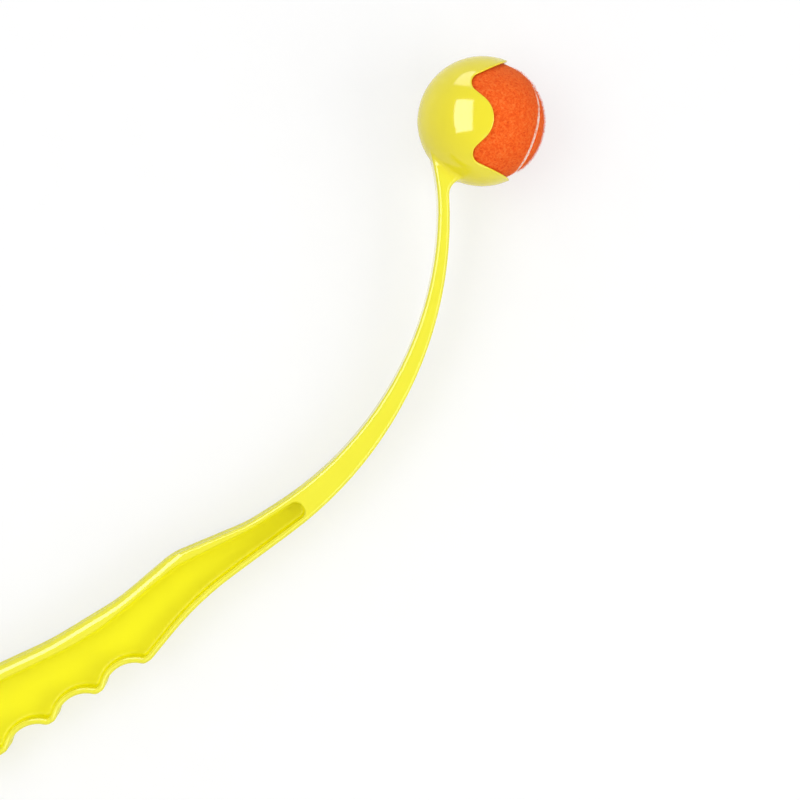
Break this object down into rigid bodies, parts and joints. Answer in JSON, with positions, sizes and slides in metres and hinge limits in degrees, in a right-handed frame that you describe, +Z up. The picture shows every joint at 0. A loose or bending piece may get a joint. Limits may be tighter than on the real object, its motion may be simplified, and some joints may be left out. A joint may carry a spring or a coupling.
{
  "type": "dog ball thrower",
  "caption": "Curved plastic arm with a finger-grooved grip and a scalloped spherical cup that snaps round a felt ball to throw it.",
  "frame": {"origin": "on the table, under the middle of the whole object's box", "axes": "+X forward along the grip towards the cup, +Y to the palm side of the grip, +Z up from the table"},
  "size_m": [0.3562, 0.1424, 0.0542],
  "materials": {
    "yellow_plastic": "glossy lemon yellow moulding",
    "core_rubber": "plain moulded rubber",
    "orange_felt": "short napped felt",
    "seam_cement": "pale matt cement strip"
  },
  "bodies": {
    "thrower": {"thrower_moulding": "yellow_plastic"},
    "ball": {"ball_core_half_1": "core_rubber", "ball_core_half_2": "core_rubber", "felt_panel_1": "orange_felt", "felt_panel_2": "orange_felt", "ball_seam": "seam_cement"}
  },
  "joints": [
    {"name": "ball_out_of_cup", "type": "slide", "parent": "thrower", "child": "ball", "axis": [0.8575, -0.5134, -0.0333], "range_m": [0, 0.06], "deforming": ["felt_panel_1", "felt_panel_2", "ball_seam"]}
  ]
}
